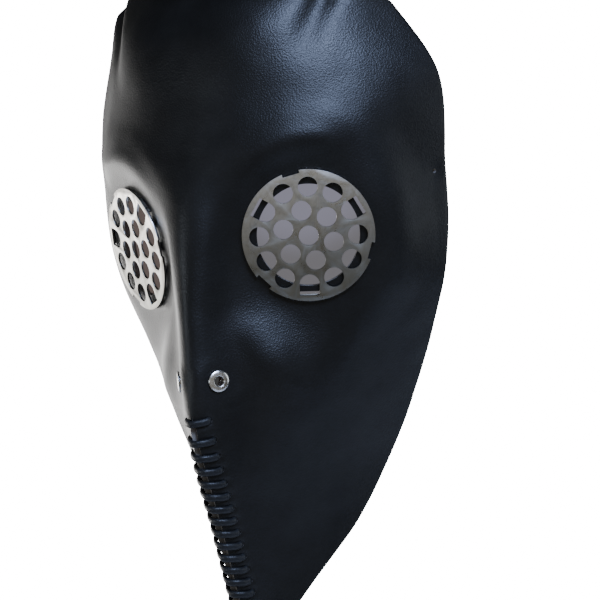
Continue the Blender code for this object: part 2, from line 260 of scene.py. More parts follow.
def build_room():
    world = bpy.data.worlds.new("room")
    bpy.context.scene.world = world
    world.use_nodes = True
    net = Network(world.node_tree)
    direction = net.node("TexCoord", output="Generated")
    level_right, level_up = camera_axes(CAMERA_AZIMUTH, CAMERA_ELEVATION, 0)[:2]
    colour = (BACKDROP_WHITE,) * 3 + (1,)
    for spot, (half_width, half_height), full, tone in SHADES:
        sight = Vector(spot) * MM - camera.location
        reach = 0.0
        for axis, half in ((level_right, half_width), (level_up, half_height)):
            offset = net.node("VectorMath", {"operation": "DOT_PRODUCT"}, output="Value",
                              i0=direction, i1=axis)
            reach = reach + ((offset - sight.normalized().dot(axis)) * (sight.length / MM / half)) ** 2
        shade = net.remap(reach, 1.0, full, smooth=True)
        colour = net.blend(shade, colour, (*tone, 1))
    forward = net.node("VectorMath", {"operation": "DOT_PRODUCT"}, output="Value",
                       i0=direction, i1=back)
    room = net.blend(net.remap(forward, 0.2, 0.95, smooth=True), (*ROOM_LOW, 1), (*ROOM_FRONT, 1))
    seen = net.node("LightPath", output="Is Camera Ray")
    connect(net.tree, net.tree.nodes["Background"].inputs["Color"], net.blend(seen, room, colour))


build_room()
print("patches of shade:", len(SHADES))

# %% [markdown]
# ## Leather finishes
# One hide shows three faces. The grain side is dyed black and has a fine pebble, soft pores and a
# satin shine that comes and goes. The flesh side is undyed, fibrous and dull. The cut edge shows
# the brown-grey core between the two. All three patterns are procedural and sit in object space,
# so they don't stretch with the moulding.

# %% Grain side


def grain_leather(name, black=(0.0052, 0.0051, 0.0049)):
    """Black satin leather: pebble, pores, handling marks and a varying shine."""
    finish = Finish(name, IOR=1.38, Coat_Roughness=0.36, Coat_IOR=1.4)
    where = finish.position()
    drift = finish.clouds(where, 22.0, detail=3.0)
    tone = finish.clouds(where, 55.0, detail=5.0, rough=0.6)
    dark = (*black, 1)
    dusty = tuple(1.8 * c for c in black) + (1,)
    finish.feed("Base Color", finish.blend(finish.remap(tone, 0.35, 0.75), dark, dusty))
    pebble = finish.node("TexVoronoi", {"feature": "SMOOTH_F1"}, Vector=where, Scale=1500.0,
                         Smoothness=0.35, Randomness=0.95)
    fine = finish.clouds(where, 2600.0, detail=3.0)
    pores = finish.node("TexVoronoi", {"feature": "F1"}, Vector=where, Scale=420.0)
    pits = 1 - finish.remap(pores, 0.0, 0.16)
    finish.feed("Roughness", 0.32 + 0.10 * finish.remap(drift, 0.3, 0.7) + 0.05 * tone)
    finish.feed("Coat Weight", 0.08 * finish.remap(drift, 0.7, 0.35))
    creases = finish.node("TexNoise", {"noise_type": "RIDGED_MULTIFRACTAL"}, Vector=where,
                          Scale=130.0, Detail=4.0)
    height = pebble * 0.6 + fine * 0.35 - pits * 0.3 - finish.remap(creases, 0.5, 1.0) * 0.25
    finish.feed("Normal", finish.bump(height, 0.00017, 0.75))
    return finish.material


GRAIN = grain_leather("black_grain_leather")
print("grain side:", len(GRAIN.node_tree.nodes), "nodes")

# %% [markdown]
# The other two faces are loose fibres, so one function makes both, with its own two tones and its
# own size of tangle. A distorted noise gives the hairs, and a coarse one the uneven mottle.

# %% Flesh side and cut edge


def fibre_leather(name, dark, light, tangle):
    """Undyed leather fibres: dull, mottled and slightly hairy."""
    finish = Finish(name, Roughness=0.93, IOR=1.4, Specular_IOR_Level=0.25)
    where = finish.position()
    mottle = finish.clouds(where, 60.0, detail=6.0, rough=0.65)
    hairs = finish.clouds(where, tangle, detail=6.0, rough=0.7, distortion=1.2)
    mix = finish.remap(mottle * 0.6 + hairs * 0.4, 0.32, 0.68)
    finish.feed("Base Color", finish.blend(mix, (*dark, 1), (*light, 1)))
    finish.feed("Normal", finish.bump(hairs, 0.0004, 0.5))
    return finish.material


FLESH = fibre_leather("flesh_side_suede", (0.105, 0.075, 0.062), (0.19, 0.145, 0.125), 900.0)
EDGE = fibre_leather("raw_cut_edge", (0.14, 0.13, 0.12), (0.27, 0.25, 0.235), 1600.0)
print("flesh side and edge ready")

# %% [markdown]
# ## The shape of the hide
# A wet hide bends easily one way and hardly stretches, so the natural way to describe it is to
# walk across it. At each height we know where the ridge is, the angle at which the leather leaves
# it, the angle at the rear edge and how wide the panel is. Adding up small steps along that
# changing angle gives the section. The mould's relief is then added square to it.

# %% Sections
TOP_Z, SEAM_TOP_Z, TIP_Z = 95.0, -72.0, -171.0     # mm
LEATHER = 2.1                                      # mm thick
SEAM_GAP = 0.15              # between the two cut edges of the seam
CROWN_RISE, CROWN_HALF, CROWN_START = 3.2, 33.0, 78.0      # the top edge is an arch
SEAM_SPREAD = 45.0           # across, where the seam no longer widens the beak
SEAM_OPENED = 4.0            # below its top, where the fold has become an open groove
FOLD_REACH = 30.0            # across, where the cheek's slower change of shape takes over
CHEEK_START, CHEEK_LENGTH = -30.0, 60.0
STEPS = 24                   # of each walk across the hide

# height, ridge along Y, angle at the ridge, angle at the rear edge, panel width, fold radius
SECTIONS = np.array([
    (95, -14.0, 80, 58.0, 28, 60),
    (92, -19.0, 79, 52.0, 42, 60),
    (84, -29.0, 77, 42.0, 59, 59),
    (75, -37.0, 76, 32.0, 72, 58),
    (65, -43.0, 75, 24.0, 85, 54),
    (37, -54.5, 71, 22.6, 105, 45),
    (1, -70.6, 68, 23.5, 110.8, 13),
    (-33, -80.4, 65, 22.8, 111, 5),
    (-65, -88.0, 55, 20.2, 106, 3),
    (-81, -90.0, 50, 19.6, 101.5, 2),
    (-99, -88.6, 46, 20.0, 91.5, 2),
    (-117, -86.6, 42, 23.0, 77, 2),
    (-135, -85.4, 39, 29.0, 58, 2),
    (-153, -84.2, 39, 38.0, 31, 2),
    (-171, -82.8, 44, 50.0, 6, 2),
])
HOLLOW = np.array([(95, 0.0), (30, 0.0), (5, 3.2), (-13, 5.0), (-33, 6.8), (-48, 5.4), (-60, 4.0),
                   (-95, 1.6), (-171, 0.0)])
HOLLOW_WIDTH = 40.0


def along(table, height, column=1):
    """A smooth curve through one column of a table whose heights run downwards."""
    heights, values = table[:, 0], table[:, column]
    height = np.clip(height, heights[-1], heights[0])
    k = np.clip(np.searchsorted(-heights, -height, side="right") - 1, 0, len(heights) - 2)
    slopes = np.empty_like(values)
    slopes[1:-1] = (values[2:] - values[:-2]) / (heights[2:] - heights[:-2])
    slopes[0] = (values[1] - values[0]) / (heights[1] - heights[0])
    slopes[-1] = (values[-1] - values[-2]) / (heights[-1] - heights[-2])
    span = heights[k + 1] - heights[k]
    t = (height - heights[k]) / span
    return (values[k] * (2 * t**3 - 3 * t**2 + 1) + values[k + 1] * (3 * t**2 - 2 * t**3)
            + span * (slopes[k] * (t**3 - 2 * t**2 + t) + slopes[k + 1] * (t**3 - t**2)))


def fade(value, start, end):
    """1 before start, 0 after end, with a smooth step between."""
    t = np.clip((value - start) / (end - start), 0.0, 1.0)
    return 1.0 - t * t * (3.0 - 2.0 * t)


def panel_width(height):
    return along(SECTIONS, height, 4)


print("panel width at the eyes:", round(float(panel_width(-13.0)), 1), "mm")

# %% [markdown]
# The walk itself bends the hide a little at every step. Above the seam the sheet is whole and is
# folded over the ridge, so it starts off square to the mid-plane. Below it the two cut edges lie
# side by side, so it starts off along the panel. Blending the two walks opens the fold gradually.

# %% Walk across the hide


def bend_angle(height, across, folded=1.0):
    """Angle between the leather and the mid-plane. Where it is folded, it starts off square."""
    front, rear = along(SECTIONS, height, 2), along(SECTIONS, height, 3)
    angle = front + (rear - front) * across / panel_width(height)
    angle = angle + folded * (90 - front) * np.exp(-across / along(SECTIONS, height, 5))
    return np.radians(angle)


def walk(across, height, folded):
    """Walk along a section in small steps: where it gets to, and its angle there."""
    x, y = np.zeros_like(across), along(SECTIONS, height, 1)
    for k in range(STEPS):
        angle = bend_angle(height, across * (k + 0.5) / STEPS, folded)
        x, y = x + np.sin(angle) * across / STEPS, y + np.cos(angle) * across / STEPS
    return np.stack([x, y, bend_angle(height, across, folded)])


def seam_opening(height, across):
    """How far the fold has become a slit: abrupt at the seam itself, gradual on the cheek."""
    at_seam = 1.0 - fade(SEAM_TOP_Z - height, 0.0, SEAM_OPENED)
    on_cheek = 1.0 - fade(CHEEK_START - height, 0.0, CHEEK_LENGTH)
    near = fade(across, 0.0, FOLD_REACH)
    return at_seam * near + on_cheek * (1.0 - near)


print("angle at the ridge:", [round(math.degrees(bend_angle(z, 0.0))) for z in (0.0, -60.0)])

# %% [markdown]
# The relief is what the mould and the maker's thumbs added: brows, a full forehead, the hollow
# beside the nose, two soft creases at the top, and the small dimples where the thong pulls the
# leather in. Each is a smooth bell-shaped rise, so they can simply be added up.

# %% Relief
BROW = dict(across=44.0, up=22.0, reach_across=26.0, reach_up=13.0, height=2.4)
FOREHEAD = dict(across=18.0, up=66.0, reach_across=26.0, reach_up=26.0, height=3.0)
RIDGE_ROUND = 6.0
CREASE_LOW = np.array((40.0, 46.0))
CREASE_HIGH = np.array((62.0, 90.0))
CREASE_REACH = 6.0
CREASE_DEPTH = 4.0
RIPPLE_HEIGHT = 0.22         # of the fine wrinkles that run beside the crease
RIPPLE_REACH = (4.0, 17.0)


def mound(across, height, shape):
    level = np.hypot(across, RIDGE_ROUND) - RIDGE_ROUND      # no kink where the halves meet
    a = (level - shape["across"]) / shape["reach_across"]
    b = (height - shape["up"]) / shape["reach_up"]
    return shape["height"] * np.exp(-a * a - b * b)


def crease(across, height):
    direction = CREASE_HIGH - CREASE_LOW
    length = np.hypot(*direction)
    direction = direction / length
    da, db = across - CREASE_LOW[0], height - CREASE_LOW[1]
    travelled = da * direction[0] + db * direction[1]
    beside = direction[0] * db - direction[1] * da
    grown = 1.0 - fade(travelled, 0.0, length)
    wave = np.sin(beside * 2.1 + 0.8 * np.sin(travelled * 0.35))
    ripple = RIPPLE_HEIGHT * wave * fade(abs(beside), *RIPPLE_REACH)
    return grown * (CREASE_DEPTH * np.exp(-(beside / CREASE_REACH) ** 2) + ripple)


print("brow and forehead rise by", BROW["height"], "and", FOREHEAD["height"], "mm")

# %% [markdown]
# The thong draws the hide into a shallow groove along the seam, and a little deeper at each hole.
# The holes are evenly spaced apart from the first ones, and one row ends up lower than the other.

# %% Dimples of the lacing and the ties
STITCHES = 18
STITCH_PITCH = 5.2
FIRST_STITCH_Z = -76.6
FIRST_STITCH_RISE = 2.8      # the first stitches are set wider apart
ROW_DROP = 3.4               # how far the +X row ends up below the other
STITCH_INSET = 5.8
STITCH_PULL, GROOVE_DEPTH = 0.6, 0.28    # at each hole, and in the groove along the seam
TIE_INSET = 5.5              # from the rear edge to the tie hole
TIE_PULL = 0.9


def stitch_heights(side):
    """Heights of the lacing holes on one side."""
    k = np.arange(STITCHES)
    heights = FIRST_STITCH_Z - STITCH_PITCH * k + FIRST_STITCH_RISE * np.exp(-k / 0.8)
    return heights - (side > 0) * ROW_DROP * (1 - np.exp(-k / 3))


def stitch_dimples(across, height, side):
    """The thong pulls the leather in along the seam, and a little more at each hole."""
    to_hole = np.abs(height[:, None] - stitch_heights(side)[None, :]).min(axis=1)
    pulled = -STITCH_PULL * np.exp(-(np.hypot(to_hole, across - STITCH_INSET) / 2.3) ** 2)
    groove = GROOVE_DEPTH * fade(across, 3.0, 9.0) * fade(to_hole, 1.0, 3.5)
    groove = groove * fade(height, -75.0, -70.0)
    return pulled - groove


def tie_dimple(across, height):
    reach = np.hypot(height, across - panel_width(0.0) + TIE_INSET)
    return -TIE_PULL * np.exp(-(reach / 3.5) ** 2)


def relief(across, height, side):
    hollow = np.where(across < HOLLOW_WIDTH, np.sin(np.pi * across / HOLLOW_WIDTH) ** 2, 0.0)
    mounds = sum(mound(across, height, shape) for shape in (BROW, FOREHEAD))
    return (mounds - crease(across, height) - along(HOLLOW, height) * hollow
            + stitch_dimples(across, height, side) + tie_dimple(across, height))


print("relief over the brow:", relief(np.array([44.0]), np.array([22.0]), 1).round(2)[0], "mm")

# %% [markdown]
# The leather is pressed flat under each disc and each eyelet, as it is on the bench, where the
# metal is set on a hard block. `press_flat` moves points towards a plane, and lets go smoothly.

# %% Seats for the discs
GRILLE_X, GRILLE_Y, GRILLE_Z = 40.6, -48.0, -13.0
GRILLE_YAW = math.radians(31)
GRILLE_THICKNESS, GRILLE_STANDOFF = 0.9, 0.8
SEAT_DEPTH = GRILLE_THICKNESS / 2 + GRILLE_STANDOFF
SEAT_RISE = (26.0, 41.0)         # from the disc's centre: where leather in front lets go
SEAT_FALL = (25.5, 52.0)         # and leather behind
SEAT_DRAG = 0.58


def frame_matrix(origin, x_axis, y_axis, z_axis):
    return Matrix.Translation(origin) @ Matrix((x_axis, y_axis, z_axis)).transposed().to_4x4()


def grille_frame(side):
    """Centre of an eye disc in mm, with Z out of the mask and Y up."""
    out = Vector((side * math.sin(GRILLE_YAW), -math.cos(GRILLE_YAW), 0))
    up_axis = Vector((0, 0, 1))
    return frame_matrix((side * GRILLE_X, GRILLE_Y, GRILLE_Z), up_axis.cross(out), up_axis, out)


def press_flat(points, place, depth, let_go, let_go_behind, drag=0.0):
    """Press points on the +X side into a plane behind a frame's origin. Leather that stood in
    front of the plane rises again steeply round the seat, and leather behind it falls gently.
    With some drag, the pressing reaches further below the seat."""
    turn = np.array(place.to_3x3())
    origin = np.array(place.translation)
    local = (points - origin) @ turn
    reach = np.hypot(local[:, 0], local[:, 1])
    below = np.clip(-local[:, 1] / np.maximum(reach, 1.0), 0.0, 1.0) ** 2
    shortened = let_go[0] + (reach - let_go[0]) * (1 - drag * below)
    stood_out = local[:, 2] + depth
    behind = fade(stood_out, -2.0, 2.0)
    amount = (1 - behind) * fade(shortened, *let_go) + behind * fade(reach, *let_go_behind)
    return points - (stood_out * amount)[:, None] * turn[:, 2]


def moulded(across, height, side=1.0):
    """Grain side of the leather in mm, for arrays of distances and heights on one half."""
    across, height = np.broadcast_arrays(np.asarray(across, float), np.asarray(height, float))
    across, height = across.ravel(), height.ravel()
    opening = seam_opening(height, across)
    x, y, angle = (1 - opening) * walk(across, height, 1.0) + opening * walk(across, height, 0.0)
    rise = relief(across, height, side)
    corner = SEAM_GAP / 2 + LEATHER * np.cos(bend_angle(height, across * 0, 0.0))
    corner = np.where(height < SEAM_TOP_Z, opening * corner * fade(across, 0.0, SEAM_SPREAD), 0.0)
    crown = CROWN_RISE * np.clip(1 - (across / CROWN_HALF) ** 2, 0, 1)
    crown = crown * (1 - fade(height, CROWN_START, TOP_Z))
    points = np.stack([x + rise * np.cos(angle) + corner, y - rise * np.sin(angle), height + crown], 1)
    return press_flat(points, grille_frame(1), SEAT_DEPTH, SEAT_RISE, SEAT_FALL, SEAT_DRAG)


print("disc seats lie", SEAT_DEPTH, "mm behind the middle of the discs")

# %% [markdown]
# `surface_frame` measures the leather's slope around one spot. It gives the place and direction of
# everything that is fixed to the leather: eyelets, lacing holes and tie holes. The nostrils' flat
# seats come last, because they lie in the frame that it finds there.

# %% Frames on the leather
EYELET_Z, EYELET_ACROSS = -60.0, 11.5
EYELET_RISE = (5.5, 11.0)


def surface_frame(surface, height, across, side):
    """Frame on the leather in mm: Z out of it, X away from the ridge, mirrored on the -X half."""
    step = 0.5
    spots = surface(np.array([across, across + step, max(across - step, 0), across, across]),
                    np.array([height, height, height, height + step, height - step]))
    here, away, towards, above, below = (Vector(p) for p in spots)
    x_axis = (away - towards).normalized()
    out = x_axis.cross(above - below).normalized()
    place = frame_matrix(here, x_axis, out.cross(x_axis), out)
    flip = Matrix.Diagonal((side, 1, 1, 1))
    return flip @ place @ flip


NOSTRIL = surface_frame(moulded, EYELET_Z, EYELET_ACROSS, 1)


def skin(across, height, side=1.0):
    """The finished grain side on the +X half, in mm."""
    return press_flat(moulded(across, height, side), NOSTRIL, 0.0, EYELET_RISE, EYELET_RISE)


print("nostril at", [round(v, 1) for v in NOSTRIL.translation], "mm")

# %% [markdown]
# ## Moulding the sheet
# On the bench this is a flat piece of hide. Here it is a grid primitive: its columns are the
# distance from the ridge and its rows the height. The seam is ripped open with edge_split, and the
# two cut edges are moved a hair apart, so that later steps can tell which half they belong to.

# %% Mould the sheet
COLUMNS, ROWS = 150, 212
COLUMN_CROWDING = 1.2      # more columns near the ridge, where the hide bends most


def deselect_all():
    if bpy.context.object and bpy.context.object.mode != "OBJECT":
        bpy.ops.object.mode_set(mode="OBJECT")
    bpy.ops.object.select_all(action="DESELECT")


def select_only(item):
    deselect_all()
    item.select_set(True)
    bpy.context.view_layer.objects.active = item


def smooth(item, degrees):
    """Smooth shading, with a crease where two faces meet at more than an angle."""
    select_only(item)
    bpy.ops.object.shade_smooth_by_angle(angle=math.radians(degrees))


def apply_modifiers(item):
    select_only(item)
    for modifier in list(item.modifiers):
        bpy.ops.object.modifier_apply(modifier=modifier.name)


def select_where(item, kind, test):
    """In edit mode, select only the verts, edges or faces whose middle passes a test."""
    bpy.ops.mesh.select_all(action="DESELECT")
    shape = bmesh.from_edit_mesh(item.data)
    chosen = 0
    for part in getattr(shape, kind):
        corners = [part] if kind == "verts" else part.verts
        middle = sum((v.co for v in corners), Vector()) / len(corners)
        part.select_set(bool(test(middle, part)))
        chosen += part.select
    bmesh.update_edit_mesh(item.data)
    return chosen


deselect_all()
bpy.ops.mesh.primitive_grid_add(x_subdivisions=COLUMNS, y_subdivisions=ROWS, size=2, calc_uvs=True)
hide = bpy.context.object
hide.name = "leather_hide"
seam_top = (SEAM_TOP_Z - TIP_Z) / (TOP_Z - TIP_Z) * 2 - 1
bpy.ops.object.mode_set(mode="EDIT")
ripped = select_where(hide, "edges", lambda m, e: abs(m.x) < 1e-4 and m.y < seam_top
                      and abs(e.verts[0].co.x - e.verts[1].co.x) < 1e-5)
bpy.ops.mesh.edge_split(type="EDGE")
shape = bmesh.from_edit_mesh(hide.data)
for vert in shape.verts:
    if abs(vert.co.x) < 1e-5:
        lean = sum(face.calc_center_median().x for face in vert.link_faces)
        vert.co.x = 1e-4 * (1 if lean > 1e-4 else -1 if lean < -1e-4 else 0)
bmesh.update_edit_mesh(hide.data)
bpy.ops.object.mode_set(mode="OBJECT")
print("ripped", ripped, "edges of the seam")

# %% [markdown]
# Every vertex of the flat sheet is now moved to its place on the mould. numpy moves them all at
# once.

# %% Press it on the mould


def read_points(mesh):
    flat = np.empty(len(mesh.vertices) * 3, np.float32)
    mesh.vertices.foreach_get("co", flat)
    return flat.reshape(-1, 3).astype(float)


def write_points(mesh, points):
    mesh.vertices.foreach_set("co", points.astype(np.float32).ravel())
    mesh.update()


def mould_sheet(item):
    flat = read_points(item.data)
    height = TIP_Z + (flat[:, 1] + 1) / 2 * (TOP_Z - TIP_Z)
    share = np.where(np.abs(flat[:, 0]) < 2e-4, 0.0, np.abs(flat[:, 0]))
    across = panel_width(height) * share**COLUMN_CROWDING
    side = np.sign(flat[:, 0])
    points = np.empty_like(flat)
    for sign in (-1.0, 1.0):
        half = side == sign
        points[half] = skin(across[half], height[half], sign)
    points[side == 0] = skin(across[side == 0], height[side == 0], 1.0)
    points[:, 0] *= np.where(side < 0, -1.0, 1.0)
    points[(side == 0) & (height > SEAM_TOP_Z - 1.0), 0] = 0.0
    write_points(item.data, points * MM)


mould_sheet(hide)
print("moulded", len(hide.data.vertices), "vertices")

# %% [markdown]
# Real hide is never even. A slow noise, with hills about 30 mm apart and under half a millimetre
# high, is enough to break up the highlights. It fades out at the seats, which have to stay flat,
# and at the seam.

# %% Uneven hide
UNEVEN_HEIGHT = 0.42
HILLS, FINE_HILLS, FINE_SHARE = 38.0, 95.0, 0.4      # to the metre, and how high the fine ones are
CALM_SEAT, CALM_EYELET, CALM_SEAM = (0.029, 0.040), (0.006, 0.011), (0.004, 0.016)


def roughen(item):
    mesh = item.data
    points = read_points(mesh)
    normals = np.empty(len(mesh.vertices) * 3, np.float32)
    mesh.vertices.foreach_get("normal", normals)
    normals = normals.reshape(-1, 3)
    shift = np.array([noise.noise(Vector(p) * HILLS)
                      + FINE_SHARE * noise.noise(Vector(p) * FINE_HILLS) for p in points])
    for side in (-1, 1):
        centre = np.array(grille_frame(side).translation) * MM
        shift = shift * (1 - fade(np.linalg.norm(points - centre, axis=1), *CALM_SEAT))
        nostril = np.array(NOSTRIL.translation) * MM * np.array((side, 1, 1))
        shift = shift * (1 - fade(np.linalg.norm(points - nostril, axis=1), *CALM_EYELET))
    near_seam = fade(np.abs(points[:, 0]), *CALM_SEAM) * (points[:, 2] < SEAM_TOP_Z * MM)
    shift = shift * (1 - near_seam) * UNEVEN_HEIGHT * MM
    write_points(mesh, points + normals * shift[:, None])


roughen(hide)
print("hide made uneven")

# %% [markdown]
# Solidify adds the thickness and, through its material offsets, the flesh side and the raw edge.
# A knife never leaves a perfectly sharp corner, so a narrow Bevel then rounds the edges.

# %% Thickness and rounded edges
for finish in (GRAIN, FLESH, EDGE):
    hide.data.materials.append(finish)
bpy.context.view_layer.update()
wall = hide.modifiers.new("Thickness", "SOLIDIFY")
wall.thickness = LEATHER * MM
wall.offset = -1.0
wall.use_even_offset = True
wall.material_offset = 1
wall.material_offset_rim = 2
edge_round = hide.modifiers.new("Rounded edge", "BEVEL")
edge_round.width = 0.35 * MM
edge_round.segments = 2
edge_round.limit_method = "ANGLE"
edge_round.angle_limit = math.radians(55)
edge_round.material = 2
apply_modifiers(hide)
print("hide:", len(hide.data.polygons), "faces")

# %% [markdown]
# ## Cutting the openings
# Punches and chisels cut the real hide. Here each one is a primitive placed in its own frame:
# cylinders for round holes and thin boxes for slits. These helpers work in millimetres, join the
# cutters into one object and cut them out with a single Boolean.

# %% Cutting tools
SIDES = (-1, 1)
FLAT = Matrix.Identity(4)


def turned(place, degrees):
    """A frame turned clockwise, seen from in front."""
    return place @ Matrix.Rotation(math.radians(-degrees), 4, "Z")


def in_metres(place):
    scaled = place.copy()
    scaled.translation = place.translation * MM
    return scaled


def cutting_cylinder(place, radius, low, high, sides):
    middle = in_metres(place @ Matrix.Translation((0, 0, (low + high) / 2)))
    bpy.ops.mesh.primitive_cylinder_add(vertices=sides, radius=radius * MM,
                                        depth=(high - low) * MM)
    bpy.context.object.matrix_world = middle
    return bpy.context.object


def cutting_box(place, low, high, rounded=0.0):
    """A box in a frame, with its edges along Z rounded where that is asked for."""
    low, high = Vector(low), Vector(high)
    middle = in_metres(place @ Matrix.Translation((low + high) / 2))
    bpy.ops.mesh.primitive_cube_add(size=1)
    box = bpy.context.object
    if rounded:
        box.scale = (high - low) * MM
        bpy.ops.object.transform_apply(location=True, rotation=True, scale=True)
        bpy.ops.object.mode_set(mode="EDIT")
        select_where(box, "edges", lambda m, e: abs(e.verts[0].co.z - e.verts[1].co.z) > MM)
        bpy.ops.mesh.bevel(offset=rounded * MM, segments=5)
        bpy.ops.object.mode_set(mode="OBJECT")
        box.matrix_world = middle
    else:
        box.matrix_world = middle @ Matrix.Diagonal((*((high - low) * MM), 1))
    return box


def join(items, name):
    deselect_all()
    for item in items:
        item.select_set(True)
    bpy.context.view_layer.objects.active = items[0]
    bpy.ops.object.join()
    joined = bpy.context.object
    bpy.ops.object.transform_apply(location=True, rotation=True, scale=True)
    joined.name = name
    return joined


def cut(item, cutters):
    """Boolean the joined cutters out of an item, and remove them."""
    tool = join(cutters, "cutter")
    tool.data.materials.clear()
    for finish in item.data.materials:
        tool.data.materials.append(finish)
    for face in tool.data.polygons:
        face.material_index = len(item.data.materials) - 1
    hole = item.modifiers.new("Cut", "BOOLEAN")
    hole.operation = "DIFFERENCE"
    hole.solver = "EXACT"
    hole.object = tool
    apply_modifiers(item)
    bpy.data.objects.remove(tool, do_unlink=True)


print("cutting tools ready")

# %% [markdown]
# The eyes, nostrils, lacing and tie holes are round, and a slit waits for each of the discs' tabs.
# The cutters carry the hide's own materials, so every cut shows the raw edge. Holes that sit on the
# leather are placed by `surface_frame`, so they follow the mould.

# %% Cut the openings
EYE_OPENING = 19.7
TAB_WIDTH, TAB_BEND, TAB_THICKNESS = 7.6, 23.2, 0.9
TAB_PLAY = 0.4
GRILLE_TURN = {-1: -20.0, 1: 9.0}
STITCH_HOLE, NOSTRIL_HOLE, TIE_HOLE = 1.4, 2.85, 0.9


def stitch_frame(side, k):
    return surface_frame(skin, float(stitch_heights(side)[k]), STITCH_INSET, side)


def opening_cutters():
    tools = []
    for side in SIDES:
        tools.append(cutting_cylinder(grille_frame(side), EYE_OPENING, -12, 12, 128))
        for k in range(3):
            place = turned(grille_frame(side), GRILLE_TURN[side] + 60 + 120 * k)
            low = (-TAB_WIDTH / 2 - TAB_PLAY, TAB_BEND - TAB_THICKNESS - TAB_PLAY, -10)
            tools.append(cutting_box(place, low, (TAB_WIDTH / 2 + TAB_PLAY, TAB_BEND + TAB_PLAY, 5)))
        for k in range(STITCHES):
            tools.append(cutting_cylinder(stitch_frame(side, k), STITCH_HOLE, -6, 3, 20))
        nostril = surface_frame(skin, EYELET_Z, EYELET_ACROSS, side)
        tools.append(cutting_cylinder(nostril, NOSTRIL_HOLE, -8, 4, 32))
        temple = surface_frame(skin, 0.0, float(panel_width(0.0)) - TIE_INSET, side)
        tools.append(cutting_cylinder(temple, TIE_HOLE, -8, 4, 32))
    return tools


cut(hide, opening_cutters())
smooth(hide, 42)
print("hide after cutting:", len(hide.data.polygons), "faces")
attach(hide, "root")
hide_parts("leather_shell")

# %% [markdown]
# ## The lacing
# A flat thong spirals down the seam: it comes up through a hole on the wearer's right, crosses
# the seam on the outside, goes down on the left and back across the inside to the next hole. Its
# route is one smooth curve through a few points per stitch, each worked out from the leather's
# surface, and a little slack is added because no two stitches are pulled equally tight.

# %% Lacing route
THONG_WIDTH, THONG_THICKNESS = 2.9, 1.9
LIFT = THONG_THICKNESS / 2 - 0.15      # pulled a little into the leather


def through_hole(place, seam, levels):
    """The thong's path through one hole, eased where it turns."""
    points = []
    for level, first in zip(levels, (True, False)):
        inward = 0.75 if level < 0 else -0.75
        on_axis = place @ Vector((-seam * 0.15, 0, level + inward))
        beside = place @ Vector((seam * 1.1, 0, level))
        points += [beside, on_axis] if first else [on_axis, beside]
    return points


def lacing_route():
    sunk = -(LEATHER + LIFT + 0.15)
    route = []
    for k in range(STITCHES):
        start, end = stitch_frame(-1, k), stitch_frame(1, k)
        rise = end.translation.z - start.translation.z
        middle = start.translation.z + rise / 2
        slack = 0.25 * math.sin(k * 2.3) + 0.15 * math.sin(k * 5.1)
        crest = Vector(skin(0.0, middle)[0])
        crest.x = 0
        crest.y -= LIFT + 0.25 + slack * 0.4
        route += through_hole(start, 1.0, (sunk, LIFT))
        shoulders = [surface_frame(skin, middle + side * 0.2 * rise, 1.2, side)
                     @ Vector((0, 0, LIFT + slack * 0.2)) for side in SIDES]
        route += [shoulders[0], crest, shoulders[1]]
        route += through_hole(end, -1.0, (LIFT, sunk))
    tail = Vector((0, 4, 5))
    return [route[0] + tail] + route + [route[-1] + tail]


route = lacing_route()
print("lacing:", STITCHES, "stitches,", len(route), "points")

# %% [markdown]
# A curve with a bevel object carries the thong's cross-section along the route and keeps its broad
# side against the leather. It is turned into a mesh at the end, with its ends closed.

# %% Thong


def thong_profile():
    """The thong's cross-section: a strip with rounded sides, domed above and below."""
    bpy.ops.curve.primitive_bezier_circle_add(radius=1)
    profile = bpy.context.object
    profile.name = "thong_profile"
    for spot in profile.data.splines[0].bezier_points:
        for handle in ("co", "handle_left", "handle_right"):
            x, y, z = getattr(spot, handle)
            setattr(spot, handle, (x * THONG_THICKNESS / 2 * MM, y * THONG_WIDTH / 2 * MM, z))
    profile.data.resolution_u = 4
    return profile


def weld(item):
    """Merge doubled vertices and turn every face outwards."""
    select_only(item)
    bpy.ops.object.mode_set(mode="EDIT")
    bpy.ops.mesh.select_all(action="SELECT")
    bpy.ops.mesh.remove_doubles(threshold=0.00001)
    bpy.ops.mesh.normals_make_consistent(inside=False)
    bpy.ops.object.mode_set(mode="OBJECT")


def build_thong(points):
    deselect_all()
    profile = thong_profile()
    curve = bpy.data.curves.new("beak_thong", "CURVE")
    curve.dimensions = "3D"
    curve.twist_mode = "Z_UP"
    curve.bevel_mode = "OBJECT"
    curve.bevel_object = profile
    curve.use_fill_caps = True
    curve.resolution_u = 5
    line = curve.splines.new("BEZIER")
    line.bezier_points.add(len(points) - 1)
    for spot, place in zip(line.bezier_points, points):
        spot.co = place * MM
        spot.handle_left_type = spot.handle_right_type = "AUTO"
    thong = bpy.data.objects.new("beak_thong", curve)
    bpy.context.scene.collection.objects.link(thong)
    select_only(thong)
    bpy.ops.object.convert(target="MESH")
    thong = bpy.context.object
    bpy.data.objects.remove(profile, do_unlink=True)
    weld(thong)
    smooth(thong, 50)
    return thong


thong = build_thong(route)
thong.data.materials.append(grain_leather("black_thong_leather", (0.009, 0.0095, 0.0105)))
print("thong:", len(thong.data.polygons), "faces")
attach(thong, "root")
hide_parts("beak_lacing")
